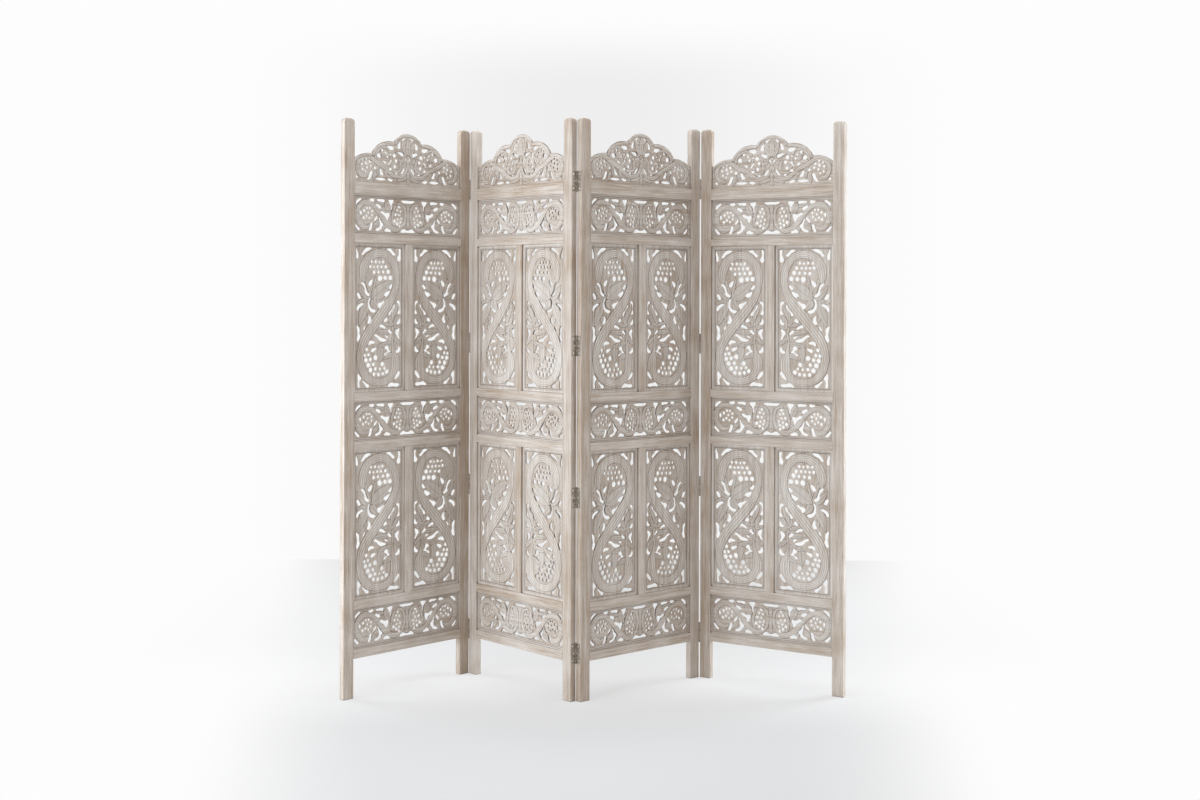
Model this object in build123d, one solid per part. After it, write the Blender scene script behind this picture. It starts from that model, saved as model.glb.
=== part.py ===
from build123d import *
import os

# Carved folding screen: wings of frame-and-panel joinery with pierced carvings, joined by butt
# hinges and standing in a zigzag. Millimetres; +Z up, +X to the right, the viewer on the -Y side.
# Each wing is built in its own frame: X along its width from the left edge, Y from its front face
# to its back face, Z up from the floor.

# ---- the stand of the wings: turn of each one in plan from +X, left to right
wing_turns = (44.8, -46.5, 39.5, -30.8)

# ---- wing frame
wing_width = 508.0
frame_thickness = 22.0
stile_height = 1829.0
stile_width = 38.0
foot_gap = 124.0  # floor to the underside of the bottom rail
bottom_rail_width = 28.0
rail_width = 27.0
top_rail_width = 38.0
muntin_width = 27.0
band_height = 128.0  # visible height of a carved band
tall_height = 474.0  # visible height of a tall carving
post_round = 15.0  # post top, seen from the front
post_crown = 8.0  # post top, seen from the side
stile_edge_round = 1.2
rail_edge_round = 1.2
foot_chamfer = 1.0

# ---- joinery
plate_thickness = 8.0  # every carving is cut from this board
groove_play = 0.2  # between a carving and each groove wall
groove_depth = 8.0
tongue_play = 1.0  # room for the carving to move at its sides and top
tenon_length = 25.0
tenon_play = 0.1
mortise_end_play = 1.0

# ---- crest outline, above the top rail
crest_height = 167.0
crest_end_height = 70.0  # where the crest meets the stile
crest_outer_notch = (73.0, 95.0)
crest_outer_lobe = (30.0, 89.0)
crest_inner_notch = (160.0, 137.0)
crest_middle_lobe = (107.0, 130.0)

# ---- hinges
hinge_levels = (150.0, 638.0, 1114.0, 1630.0)
leaf_height = 63.5
leaf_width = 20.0  # pin centre to free edge
leaf_thickness = 1.5
leaves_let_in = (True, True, False)  # at each joint: flush with the stile's edge, or screwed onto it
leaf_play = 0.1  # round a leaf in its recess
leaf_gap = 0.6  # between two closed leaves
pin_beyond = 0.4  # pin centre out from the stile's face
pin_radius = 1.25
pin_play = 0.05
knuckle_wall = 1.0
knuckle_count = 5
knuckle_gap = 0.3
pin_head_radius = 1.9
pin_head_height = 1.2
screw_shank_radius = 1.4
screw_head_radius = 2.7
screw_length = 10.0
screw_play = 0.05
screw_stagger = 2.5
screw_end_margin = 9.0
recess_length = 3.0
recess_width = 0.7
recess_depth = 0.8

# ---- worked out from the sizes above
mid_depth = frame_thickness / 2
opening_width = wing_width - 2 * stile_width
tall_width = (opening_width - muntin_width) / 2
groove_width = plate_thickness + 2 * groove_play
tongue = groove_depth - tongue_play
knuckle_radius = pin_radius + knuckle_wall
pin_out = leaf_gap / 2  # pin centre out from the leaf's face
left_tall_x = stile_width
muntin_x = stile_width + tall_width
right_tall_x = muntin_x + muntin_width

stack = (
    ("bottom_rail", bottom_rail_width),
    ("lower_band", band_height),
    ("rail_1", rail_width),
    ("lower_tall", tall_height),
    ("rail_2", rail_width),
    ("middle_band", band_height),
    ("rail_3", rail_width),
    ("upper_tall", tall_height),
    ("rail_4", rail_width),
    ("upper_band", band_height),
    ("top_rail", top_rail_width),
)
floor_of = {}
crest_floor = foot_gap
for name, height in stack:
    floor_of[name] = crest_floor
    crest_floor += height
width_of = dict(stack)
rail_names = [name for name in width_of if "rail" in name]


# ---- carving designs -------------------------------------------------------------------
# A design is drawn on its own field and fitted to the opening it fills. A cut is a smooth closed
# curve through its points; a grape is a drilled hole given as x, y, radius.

# Tall design, left hand: x from the left, y down from the top of the opening.
tall_field = (202.5, 474.0)
tall_cuts = (
    # corner slivers round the top of the vine
    ((17, 13), (20, 26), (24, 41), (21, 50), (15, 49), (13, 34), (13, 18)),
    ((32, 36), (41, 24), (51, 15), (61, 13), (73, 15), (63, 23), (49, 30), (37, 38)),
    ((132, 17), (140, 14), (150, 15), (158, 24), (167, 33), (163, 37), (151, 31), (139, 22)),
    ((181, 13), (187, 16), (188, 34), (187, 53), (182, 56), (173, 46), (178, 36), (179, 21)),
    # round the upper leaf
    ((139, 141), (144, 134), (152, 129), (156, 130), (155, 138), (149, 144), (142, 144)),
    ((120, 163), (127, 156), (137, 152), (145, 150), (146, 156), (140, 166), (133, 170), (124, 167)),
    ((96, 194), (101, 190), (113, 187), (126, 181), (124, 187), (115, 196), (104, 208), (99, 204)),
    ((60, 128), (65, 121), (72, 116), (78, 114), (77, 124), (73, 133), (66, 137), (61, 134)),
    # tendrils along the left side
    ((33, 124), (39, 124), (48, 131), (53, 144), (58, 155), (68, 166), (63, 169), (53, 166),
     (46, 158), (46, 148), (41, 136), (34, 129)),
    ((18, 158), (23, 158), (31, 168), (32, 176), (27, 178), (19, 170)),
    ((16, 213), (16, 203), (27, 193), (39, 190), (45, 192), (37, 199), (27, 208), (21, 215)),
    ((73, 175), (67, 186), (68, 200), (77, 209), (91, 215), (87, 220), (75, 220), (63, 211),
     (58, 198), (59, 184), (66, 175)),
    ((63, 225), (67, 231), (73, 242), (71, 251), (63, 257), (57, 255), (60, 244), (61, 232)),
    ((53, 264), (50, 271), (45, 277), (41, 275), (44, 268), (48, 263)),
    ((18, 261), (25, 266), (29, 276), (28, 288), (32, 297), (29, 305), (23, 313), (18, 312),
     (17, 299), (18, 280)),
    # flower in the right-hand triangle
    ((165, 194), (168, 196), (161, 208), (152, 220), (146, 230), (140, 229), (141, 222), (150, 213),
     (158, 201)),
    ((171, 186), (176, 182), (184, 184), (187, 192), (186, 210), (187, 223), (181, 227), (176, 225),
     (180, 214), (181, 200), (178, 192)),
    ((120, 249), (125, 241), (130, 237), (137, 244), (132, 250), (125, 251)),
    ((184, 237), (187, 244), (186, 256), (173, 258), (170, 256), (178, 247)),
    ((104, 265), (110, 258), (117, 260), (127, 267), (130, 273), (121, 272), (111, 268)),
    ((137, 279), (144, 275), (150, 280), (155, 289), (150, 291), (142, 286)),
    ((125, 293), (133, 295), (141, 302), (136, 303), (128, 298)),
    ((183, 271), (184, 280), (181, 291), (184, 307), (180, 306), (173, 295), (167, 286), (171, 277),
     (177, 273)),
    # over the lower bunch
    ((83, 293), (90, 290), (101, 295), (114, 302), (127, 306), (135, 311), (128, 314), (113, 314),
     (103, 310), (96, 302), (87, 297)),
    ((61, 322), (63, 314), (71, 310), (81, 312), (88, 316), (83, 320), (72, 321), (65, 326)),
    ((71, 341), (77, 335), (85, 334), (92, 333), (92, 338), (86, 343), (80, 347), (73, 346)),
    ((123, 334), (130, 328), (137, 326), (141, 335), (146, 344), (151, 348), (141, 350), (131, 357),
     (124, 360), (122, 355), (129, 350), (136, 346), (130, 339)),
    ((183, 329), (187, 336), (186, 347), (178, 351), (169, 350), (168, 347), (176, 340)),
    # corner slivers round the foot of the vine
    ((23, 410), (28, 419), (35, 430), (29, 438), (28, 448), (29, 457), (25, 461), (21, 457), (20, 436),
     (20, 416)),
    ((38, 436), (45, 439), (55, 447), (66, 454), (63, 459), (55, 459), (46, 449)),
    ((163, 434), (168, 424), (177, 413), (183, 409), (186, 415), (183, 425), (173, 434), (165, 437)),
    ((137, 458), (143, 450), (151, 446), (163, 449), (178, 450), (185, 455), (181, 459), (153, 459)),
)
tall_grapes = (
    (73, 58, 5.0), (89, 58, 5.2), (104, 59, 4.5), (118, 58, 5.5),
    (68, 74, 5.5), (83, 75, 4.6), (97, 74, 5.1), (112, 74, 5.2), (129, 74, 6.2),
    (83, 92, 6.2), (100, 91, 5.4), (119, 90, 5.6), (138, 89, 7.5),
    (106, 111, 9.2), (127, 109, 7.2), (147, 109, 8.1),
    (55, 338, 6.2), (48, 357, 5.8), (62, 355, 5.8), (52, 372, 7.5), (70, 370, 6.5),
    (89, 365, 8.1), (61, 388, 8.1), (81, 386, 6.5), (70, 404, 8.1), (89, 401, 6.2),
    (83, 418, 6.6), (101, 419, 6.2), (107, 402, 5.0), (116, 386, 7.5), (124, 400, 5.3),
    (118, 417, 6.2), (134, 411, 7.4),
)

# Band design: x from the left, y down from the top; the left half is mirrored, and the two
# middle cuts are drawn whole.
band_field = (432.0, 128.0)
band_half_cuts = (
    ((11, 30), (13, 22), (21, 15), (31, 12), (34, 14), (25, 23), (16, 31)),
    ((63, 12), (73, 12), (83, 12), (83, 19), (77, 22), (70, 20), (63, 16)),
    ((93, 12), (106, 12), (119, 12), (125, 15), (123, 21), (113, 21), (101, 20), (93, 16)),
    ((137, 13), (149, 12), (160, 13), (157, 22), (153, 32), (154, 43), (150, 48), (148, 40),
     (146, 30), (141, 23)),
    ((89, 30), (94, 27), (104, 31), (111, 36), (109, 41), (103, 43), (96, 38)),
    ((108, 52), (119, 51), (129, 56), (142, 54), (144, 60), (140, 70), (136, 80), (129, 73), (120, 63)),
    ((27, 54), (31, 51), (35, 56), (34, 64), (30, 67), (27, 61)),
    ((96, 65), (95, 73), (89, 82), (84, 85), (82, 80), (87, 71)),
    ((102, 67), (107, 74), (113, 85), (121, 93), (116, 100), (110, 108), (101, 113), (89, 113),
     (87, 110), (98, 105), (104, 99), (104, 88), (101, 76)),
    ((70, 89), (76, 89), (77, 98), (73, 108), (67, 115), (62, 114), (63, 105), (66, 96)),
    ((9, 96), (14, 96), (20, 103), (28, 111), (26, 115), (19, 113), (13, 107)),
    ((122, 113), (127, 106), (134, 103), (142, 107), (151, 112), (148, 115), (133, 115)),
)
band_middle_cuts = (
    ((187, 13), (201, 12), (216, 12), (231, 12), (245, 13), (238, 19), (226, 21), (206, 21), (194, 19)),
    ((186, 114), (192, 107), (200, 104), (208, 107), (216, 109), (224, 107), (232, 104), (240, 107),
     (246, 114), (231, 116), (216, 116), (201, 116)),
)
band_half_grapes = (
    (44, 51, 5.2), (55, 43, 4.5), (66, 43, 4.2), (75, 52, 4.7), (74, 65, 4.4), (60, 57, 4.4),
    (53, 68, 4.7), (42, 74, 5.2), (64, 74, 4.2),
    (163, 80, 6.0), (174, 89, 5.5), (185, 96, 5.2), (187, 83, 4.4), (176, 74, 4.4), (190, 71, 4.2),
    (167, 59, 5.2), (181, 60, 4.4), (174, 45, 4.4), (187, 48, 4.2), (181, 34, 4.9),
)

# Crest design: x from the left, y up from the top rail; mirrored as the band is.
crest_field = (432.0, 167.0)
crest_half_cuts = (
    ((11, 21), (15, 22), (20, 16), (19, 12), (14, 13)),
    ((55, 13), (60, 20), (64, 31), (70, 38), (76, 36), (74, 27), (70, 17), (63, 11), (57, 10)),
    ((104, 48), (109, 47), (114, 38), (120, 29), (113, 27), (105, 30), (103, 39)),
    ((87, 15), (96, 18), (112, 19), (123, 17), (128, 14), (118, 11), (98, 11)),
    ((134, 16), (140, 19), (150, 17), (158, 13), (152, 10), (139, 11)),
    ((92, 90), (98, 97), (105, 96), (109, 89), (107, 83), (99, 83)),
    ((132, 122), (145, 124), (158, 121), (161, 116), (155, 111), (146, 110), (138, 114)),
    ((116, 74), (123, 74), (130, 68), (126, 65), (119, 68)),
    ((137, 66), (142, 72), (149, 80), (153, 77), (147, 68), (140, 62)),
    ((140, 49), (146, 54), (154, 50), (153, 46), (146, 45)),
    ((164, 37), (171, 39), (177, 36), (171, 33)),
    ((187, 36), (191, 44), (197, 52), (203, 57), (205, 51), (200, 42), (194, 36)),
    ((175, 107), (180, 108), (187, 106), (195, 105), (200, 100), (198, 94), (191, 93), (183, 97)),
    ((174, 119), (175, 128), (179, 135), (186, 139), (188, 133), (186, 126), (187, 120), (180, 117)),
    ((191, 143), (194, 149), (199, 154), (206, 155), (203, 149), (198, 143)),
    ((204, 88), (209, 88), (213, 83), (213, 78), (208, 79), (205, 83)),
)
crest_half_grapes = (
    (86, 49, 5.6), (114, 108, 5.2), (162, 93, 6.9), (169, 77, 6.0), (164, 58, 6.2),
    (35, 58, 4.5), (51, 62, 5.0), (65, 68, 5.0), (55, 49, 4.5), (69, 55, 4.2), (37, 43, 4.5),
    (49, 36, 3.8), (52, 77, 4.0), (39, 71, 3.8),
    (128, 100, 4.2), (134, 88, 4.5), (147, 96, 4.0),
)


# ---- pierced plates --------------------------------------------------------------------
def mirrored(cuts, grapes, width):
    """Cuts and grapes of the other half, mirrored about the middle of the field."""
    other_cuts = [[(width - x, y) for x, y in cut] for cut in cuts]
    other_grapes = [(width - x, y, r) for x, y, r in grapes]
    return other_cuts, other_grapes


def pierced_plate(outline, cuts, grapes, field, size, from_top):
    """Board with its front on the plane Y = 0; outline is its edge, cuts and grapes go through."""
    scale_x = size[0] / field[0]
    scale_z = size[1] / field[1]

    def placed(x, y):
        height = field[1] - y if from_top else y
        return (x * scale_x, 0, height * scale_z)

    holes = [Wire([Spline(*[placed(x, y) for x, y in cut], periodic=True)]) for cut in cuts]
    for x, y, radius in grapes:
        centre = Plane(origin=placed(x, y), x_dir=(1, 0, 0), z_dir=(0, -1, 0))
        holes.append(Wire.make_circle(radius * min(scale_x, scale_z), centre))
    board = Face(outline, holes)
    return extrude(board, amount=plate_thickness, dir=(0, 1, 0))


def plate_edge(width, height):
    """Edge of a plate that fills an opening: it stands on the groove floor, loose elsewhere."""
    corners = ((-tongue, -groove_depth), (width + tongue, -groove_depth),
               (width + tongue, height + tongue), (-tongue, height + tongue))
    return Wire.make_polygon([(x, 0, z) for x, z in corners], close=True)


def tall_carving(right_hand):
    cuts, grapes = tall_cuts, tall_grapes
    if right_hand:
        cuts, grapes = mirrored(cuts, grapes, tall_field[0])
    edge = plate_edge(tall_width, tall_height)
    return pierced_plate(edge, cuts, grapes, tall_field, (tall_width, tall_height), True)


def band_carving():
    other_cuts, other_grapes = mirrored(band_half_cuts, band_half_grapes, band_field[0])
    cuts = [*band_half_cuts, *other_cuts, *band_middle_cuts]
    grapes = [*band_half_grapes, *other_grapes]
    edge = plate_edge(opening_width, band_height)
    return pierced_plate(edge, cuts, grapes, band_field, (opening_width, band_height), True)


def crest_edge():
    """Five lobes between the stiles, over a straight foot with a tongue at each end."""
    scale_x = opening_width / crest_field[0]
    scale_z = crest_height / crest_field[1]

    def left(x, z):
        return (x * scale_x, 0, z * scale_z)

    def right(x, z):
        return (opening_width - x * scale_x, 0, z * scale_z)

    left_end = (0, 0, crest_end_height)
    right_end = (opening_width, 0, crest_end_height)
    peak = (opening_width / 2, 0, crest_height)
    lobes = [
        ThreePointArc(left_end, left(*crest_outer_lobe), left(*crest_outer_notch)),
        ThreePointArc(left(*crest_outer_notch), left(*crest_middle_lobe), left(*crest_inner_notch)),
        ThreePointArc(left(*crest_inner_notch), peak, right(*crest_inner_notch)),
        ThreePointArc(right(*crest_inner_notch), right(*crest_middle_lobe), right(*crest_outer_notch)),
        ThreePointArc(right(*crest_outer_notch), right(*crest_outer_lobe), right_end),
    ]
    foot = Polyline(right_end, (opening_width + tongue, 0, crest_end_height),
                    (opening_width + tongue, 0, -groove_depth), (-tongue, 0, -groove_depth),
                    (-tongue, 0, crest_end_height), left_end)
    return Wire([*lobes, *foot.edges()])


def crest_carving():
    other_cuts, other_grapes = mirrored(crest_half_cuts, crest_half_grapes, crest_field[0])
    cuts = [*crest_half_cuts, *other_cuts]
    grapes = [*crest_half_grapes, *other_grapes]
    size = (opening_width, crest_height)
    return pierced_plate(crest_edge(), cuts, grapes, crest_field, size, False)


# ---- frame members ---------------------------------------------------------------------
def stile_blank():
    """Left stile before joinery: eased edges, chamfered foot and a domed top."""
    section = Pos(stile_width / 2, mid_depth) * RectangleRounded(
        stile_width, frame_thickness, stile_edge_round)
    post = extrude(section, amount=stile_height)
    foot_edges = post.faces().sort_by(Axis.Z)[0].edges()
    post = chamfer(foot_edges, foot_chamfer)

    def domed(width, radius):
        shape = Pos(width / 2, stile_height / 2) * Rectangle(width, stile_height)
        return fillet(shape.vertices().group_by(Axis.Y)[-1], radius)

    from_front = extrude(Plane.XZ * domed(stile_width, post_round), amount=-frame_thickness)
    from_side = extrude(Plane.YZ * domed(frame_thickness, post_crown), amount=stile_width)
    return post & from_front & from_side


def stile_groove():
    """Groove for the carvings, from the bottom rail up to the top of the crest's end."""
    foot = foot_gap + groove_depth
    top = crest_floor + crest_end_height + tongue_play
    size = (groove_depth, groove_width, top - foot)
    centre = (stile_width - groove_depth / 2, mid_depth, (foot + top) / 2)
    return Pos(*centre) * Box(*size)


def tenon_height(rail_name):
    return width_of[rail_name] - 2 * groove_depth


def mortise(rail_name):
    depth = tenon_length + mortise_end_play
    centre = (stile_width - depth / 2, mid_depth, floor_of[rail_name] + width_of[rail_name] / 2)
    return Pos(*centre) * Box(depth, groove_width, tenon_height(rail_name) + 2 * tenon_play)


def stile(right_hand):
    """Left stile, or the right one, which is the left one turned about the wing's middle."""
    post = stile_blank() - stile_groove()
    for rail_name in rail_names:
        post -= mortise(rail_name)
    if right_hand:
        post = Pos(wing_width, frame_thickness) * Rot(0, 0, 180) * post
    return post


def rail(rail_name):
    """Rail with a carving groove along each edge that faces a carving and a tenon at each end."""
    width = width_of[rail_name]
    middle_z = floor_of[rail_name] + width / 2
    middle_x = wing_width / 2
    section = Pos(mid_depth, middle_z) * RectangleRounded(frame_thickness, width, rail_edge_round)
    bar = extrude(Plane.YZ.offset(stile_width) * section, amount=opening_width)
    groove = Box(opening_width, groove_width, groove_depth)
    bar -= Pos(middle_x, mid_depth, middle_z + (width - groove_depth) / 2) * groove
    if rail_name != "bottom_rail":
        bar -= Pos(middle_x, mid_depth, middle_z - (width - groove_depth) / 2) * groove
    tenon = Box(opening_width + 2 * tenon_length, groove_width - 2 * tenon_play,
                tenon_height(rail_name))
    return bar + Pos(middle_x, mid_depth, middle_z) * tenon


def muntin(tall_name):
    """Upright between two tall carvings, with a stub tenon in the groove of each rail."""
    floor = floor_of[tall_name]
    middle_x = muntin_x + muntin_width / 2
    middle_z = floor + tall_height / 2
    section = Pos(middle_x, mid_depth) * RectangleRounded(
        muntin_width, frame_thickness, rail_edge_round)
    bar = extrude(Plane.XY.offset(floor) * section, amount=tall_height)
    groove = Box(groove_depth, groove_width, tall_height)
    side = (muntin_width - groove_depth) / 2
    bar -= Pos(middle_x - side, mid_depth, middle_z) * groove
    bar -= Pos(middle_x + side, mid_depth, middle_z) * groove
    stub = Box(muntin_width - 2 * groove_depth, groove_width - 2 * tenon_play,
               tall_height + 2 * groove_depth - tongue_play)
    return bar + Pos(middle_x, mid_depth, middle_z - tongue_play / 2) * stub


# ---- hinges ----------------------------------------------------------------------------
# Drawn on the right edge of a wing with the pin at the front: X out from the leaf's outer face, Y
# in from the stile's front face, Z from the hinge's middle.
def screw_places():
    """Y and Z of the screws in a leaf, staggered about the middle of its flat part."""
    middle = (leaf_width - pin_beyond) / 2
    reach = leaf_height / 2 - screw_end_margin
    return ((middle + screw_stagger, reach), (middle - screw_stagger, 0), (middle + screw_stagger, -reach))


def along_x(shape, x, y, z):
    """Shape drawn along +Z, turned to run along +X from the given place."""
    return Pos(x, y, z) * Rot(0, 90, 0) * shape


def knuckle_span(index):
    """Lowest and highest Z of one knuckle's share of the barrel."""
    pitch = leaf_height / knuckle_count
    low = -leaf_height / 2 + index * pitch
    return low, low + pitch


def hinge_leaf(first):
    """Leaf with every second knuckle of the barrel, from the first one up."""
    leaf = Pos(-leaf_thickness / 2, leaf_width / 2 - pin_beyond) * Box(
        leaf_thickness, leaf_width, leaf_height)
    for index in range(knuckle_count):
        low, high = knuckle_span(index)
        middle = (low + high) / 2
        place = Pos(pin_out, -pin_beyond, middle)
        if index % 2 == first:
            leaf += place * Cylinder(knuckle_radius, high - low - knuckle_gap)
        else:
            leaf -= place * Cylinder(knuckle_radius + knuckle_gap, high - low + knuckle_gap)
    leaf -= Pos(pin_out, -pin_beyond) * Cylinder(pin_radius + pin_play, 2 * leaf_height)
    for y, z in screw_places():
        leaf -= along_x(Cylinder(screw_shank_radius + screw_play, 4 * leaf_thickness), 0, y, z)
        leaf -= along_x(countersink(screw_play), 0, y, z)
    return leaf


def countersink(play):
    """Cone of a screw head, widest at its origin and narrowing downwards at 90 degrees."""
    depth = screw_head_radius - screw_shank_radius
    return Pos(0, 0, -depth / 2) * Cone(screw_shank_radius + play, screw_head_radius + play, depth)


def hinge_screw():
    """Countersunk wood screw with a cross recess, its head flush with the leaf."""
    tip = screw_shank_radius
    shank_length = screw_length - tip
    screw = countersink(0) + Pos(0, 0, -shank_length / 2) * Cylinder(screw_shank_radius, shank_length)
    screw += Pos(0, 0, -shank_length - tip / 2) * Cone(screw_shank_radius / 4, screw_shank_radius, tip)
    for turn in (0, 90):
        screw -= Rot(0, 0, turn) * Box(recess_length, recess_width, 2 * recess_depth)
    return screw


def hinge_pin():
    """Pin through the barrel with a button head at each end."""
    pin = Cylinder(pin_radius, leaf_height + 2 * pin_head_height)
    for end in (-1, 1):
        head_z = end * (leaf_height + pin_head_height) / 2
        pin += Pos(0, 0, head_z) * Cylinder(pin_head_radius, pin_head_height)
    return Pos(pin_out, -pin_beyond) * pin


def leaf_stand(joint):
    """How far the outer face of a leaf stands out from the stile's edge."""
    return 0 if leaves_let_in[joint] else leaf_thickness


def on_edge(shape, right_edge, joint, level):
    """Hinge part moved from where it is drawn to its edge of the wing."""
    if pin_at_back(joint):
        shape = mirror(shape, about=Plane.XZ)
    if not right_edge:
        shape = mirror(shape, about=Plane.YZ)
    x = wing_width + leaf_stand(joint) if right_edge else -leaf_stand(joint)
    y = frame_thickness if pin_at_back(joint) else 0
    return Pos(x, y, level) * shape


def hinge_recess(joint):
    """Room in a stile for one hinge: barrel hollow, screw holes and a pocket for a leaf let in."""
    barrel_room = leaf_height + 2 * (pin_head_height + knuckle_gap)
    recess = Pos(pin_out, -pin_beyond) * Cylinder(knuckle_radius + knuckle_gap, barrel_room)
    if leaves_let_in[joint]:
        pocket_width = leaf_width + leaf_play
        recess += Pos(0, pocket_width / 2 - pin_beyond) * Box(
            2 * leaf_thickness, pocket_width, leaf_height + 2 * leaf_play)
    depth = screw_length + screw_play
    for y, z in screw_places():
        recess += along_x(Cylinder(screw_shank_radius + screw_play, depth), -depth / 2, y, z)
    return recess


# ---- the wings in plan -----------------------------------------------------------------
def pin_at_back(joint):
    """Pins stand at the front and at the back in turn, so that the screen folds in a zigzag."""
    return joint % 2 == 1


def wing_places():
    """Where each wing's own frame lies in the screen, working outwards from the first wing."""
    places = [Pos(0, 0) * Rot(0, 0, wing_turns[0])]
    for joint in range(len(wing_turns) - 1):
        axis = places[joint] * joint_axis_on_wing(joint)
        turn = Rot(0, 0, wing_turns[joint + 1])
        y = frame_thickness + pin_beyond if pin_at_back(joint) else -pin_beyond
        offset = turn * Pos(-leaf_stand(joint) - pin_out, y)
        places.append(Pos(axis.position - offset.position) * turn)
    return places


def joint_axis_on_wing(joint):
    """Pin axis at the right edge of the wing on the joint's left."""
    y = frame_thickness + pin_beyond if pin_at_back(joint) else -pin_beyond
    return Pos(wing_width + leaf_stand(joint) + pin_out, y)


def edges_with_hinges(wing):
    """Hinged edges of a wing: whether it is the right edge, and the joint there."""
    edges = []
    if wing > 0:
        edges.append((False, wing - 1))
    if wing < len(wing_turns) - 1:
        edges.append((True, wing))
    return edges


def wing_pieces(wing, carvings):
    """All pieces of one wing in its own frame, as lists of solids by node name."""
    left_stile = stile(False)
    right_stile = stile(True)
    leaves = []
    screws = []
    for right_edge, joint in edges_with_hinges(wing):
        leaf = hinge_leaf(0 if right_edge else 1)
        screw = hinge_screw()
        for level in hinge_levels:
            recess = on_edge(hinge_recess(joint), right_edge, joint, level)
            if right_edge:
                right_stile -= recess
            else:
                left_stile -= recess
            leaves.append(on_edge(leaf, right_edge, joint, level))
            for y, z in screw_places():
                driven = along_x(screw, 0, y, z)
                screws.append(on_edge(driven, right_edge, joint, level))

    plate_y = mid_depth - plate_thickness / 2
    pieces = {
        "left_stile": [left_stile],
        "right_stile": [right_stile],
        "rails": [rail(name) for name in rail_names],
        "muntins": [muntin("lower_tall"), muntin("upper_tall")],
        "crest": [Pos(stile_width, plate_y, crest_floor) * carvings["crest"]],
    }
    for level in ("lower", "middle", "upper"):
        place = Pos(stile_width, plate_y, floor_of[level + "_band"])
        pieces[level + "_band"] = [place * carvings["band"]]
    for level in ("lower", "upper"):
        floor = floor_of[level + "_tall"]
        pieces[level + "_left_carving"] = [Pos(left_tall_x, plate_y, floor) * carvings["tall_left"]]
        pieces[level + "_right_carving"] = [Pos(right_tall_x, plate_y, floor) * carvings["tall_right"]]
    pieces["hinge_leaves"] = leaves
    pieces["hinge_screws"] = screws
    return pieces


def screen():
    """Every node of the screen: lists of solids in place, centred over the floor."""
    carvings = {
        "crest": crest_carving(),
        "band": band_carving(),
        "tall_left": tall_carving(False),
        "tall_right": tall_carving(True),
    }
    places = wing_places()
    nodes = {}
    for wing, place in enumerate(places):
        for name, solids in wing_pieces(wing, carvings).items():
            nodes[f"wing_{wing + 1}_{name}"] = [place * solid for solid in solids]
    for joint in range(len(places) - 1):
        pins = [on_edge(hinge_pin(), True, joint, level) for level in hinge_levels]
        nodes[f"hinge_pins_{joint + 1}_{joint + 2}"] = [places[joint] * pin for pin in pins]

    box = Compound([solid for solids in nodes.values() for solid in solids]).bounding_box()
    centred = Pos(-box.center().X, -box.center().Y, -box.min.Z)
    for joint in range(len(places) - 1):
        axis = (centred * places[joint] * joint_axis_on_wing(joint)).position
        print(f"joint {joint + 1} axis at x {axis.X:.4f} y {axis.Y:.4f}")
    for wing, place in enumerate(places):
        corner = (centred * place).position
        print(f"wing {wing + 1} frame at x {corner.X:.4f} y {corner.Y:.4f} turn {wing_turns[wing]}")
    return {name: [centred * solid for solid in solids] for name, solids in nodes.items()}


os.makedirs("parts", exist_ok=True)
for name, solids in screen().items():
    node = solids[0] if len(solids) == 1 else Compound(solids)
    export_step(node, f"parts/{name}.step")
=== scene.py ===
import math
from functools import partial

import bpy
import numpy as np
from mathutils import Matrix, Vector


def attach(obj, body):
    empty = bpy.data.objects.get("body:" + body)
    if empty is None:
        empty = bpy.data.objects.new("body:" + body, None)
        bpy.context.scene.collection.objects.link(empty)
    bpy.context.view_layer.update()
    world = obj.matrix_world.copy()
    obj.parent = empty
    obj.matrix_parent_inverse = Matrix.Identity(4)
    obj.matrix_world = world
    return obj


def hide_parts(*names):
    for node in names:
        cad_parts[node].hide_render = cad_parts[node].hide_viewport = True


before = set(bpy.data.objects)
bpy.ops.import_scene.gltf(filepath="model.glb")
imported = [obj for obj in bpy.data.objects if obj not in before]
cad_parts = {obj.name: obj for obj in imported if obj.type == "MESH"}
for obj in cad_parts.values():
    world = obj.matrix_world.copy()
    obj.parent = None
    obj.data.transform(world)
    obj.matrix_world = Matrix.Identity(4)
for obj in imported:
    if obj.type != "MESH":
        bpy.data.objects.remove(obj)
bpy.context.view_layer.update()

# the turn of each wing in plan, in degrees
turns = {"wing_1": 44.8, "wing_2": -46.5, "wing_3": 39.5, "wing_4": -30.8}


def vertexPlaces(mesh):
    # where all vertices of a mesh are, a row for each
    places = np.empty(len(mesh.vertices) * 3, np.float32)
    mesh.vertices.foreach_get("co", places)
    return places.reshape(-1, 3).astype(float)


# a wing's own frame stands at its front left foot corner, the lowest place along the wing and
# inward from its front that its left stile reaches
wings = {}
for wingName, turn in turns.items():
    c, s = math.cos(math.radians(turn)), math.sin(math.radians(turn))
    x, y, _ = vertexPlaces(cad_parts[wingName + "_left_stile"].data).T
    along, inward = (x * c + y * s).min(), (y * c - x * s).min()
    wings[wingName] = {"corner": (along * c - inward * s, along * s + inward * c), "turn": turn}


def toWing(points, wing):
    # row metres to the wing's own millimetres: X along its width, Y from front to back, Z up
    corner, turn = wing["corner"], math.radians(wing["turn"])
    x = points[:, 0] - corner[0]
    y = points[:, 1] - corner[1]
    along = x * math.cos(turn) + y * math.sin(turn)
    inward = y * math.cos(turn) - x * math.sin(turn)
    return np.column_stack([along, inward, points[:, 2]]) * 1000


def toRow(points, wing):
    # the other way round: the wing's own millimetres to row metres
    corner, turn = wing["corner"], math.radians(wing["turn"])
    x, y, z = (points / 1000).T
    return np.column_stack([
        corner[0] + x * math.cos(turn) - y * math.sin(turn),
        corner[1] + x * math.sin(turn) + y * math.cos(turn),
        z,
    ])


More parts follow.
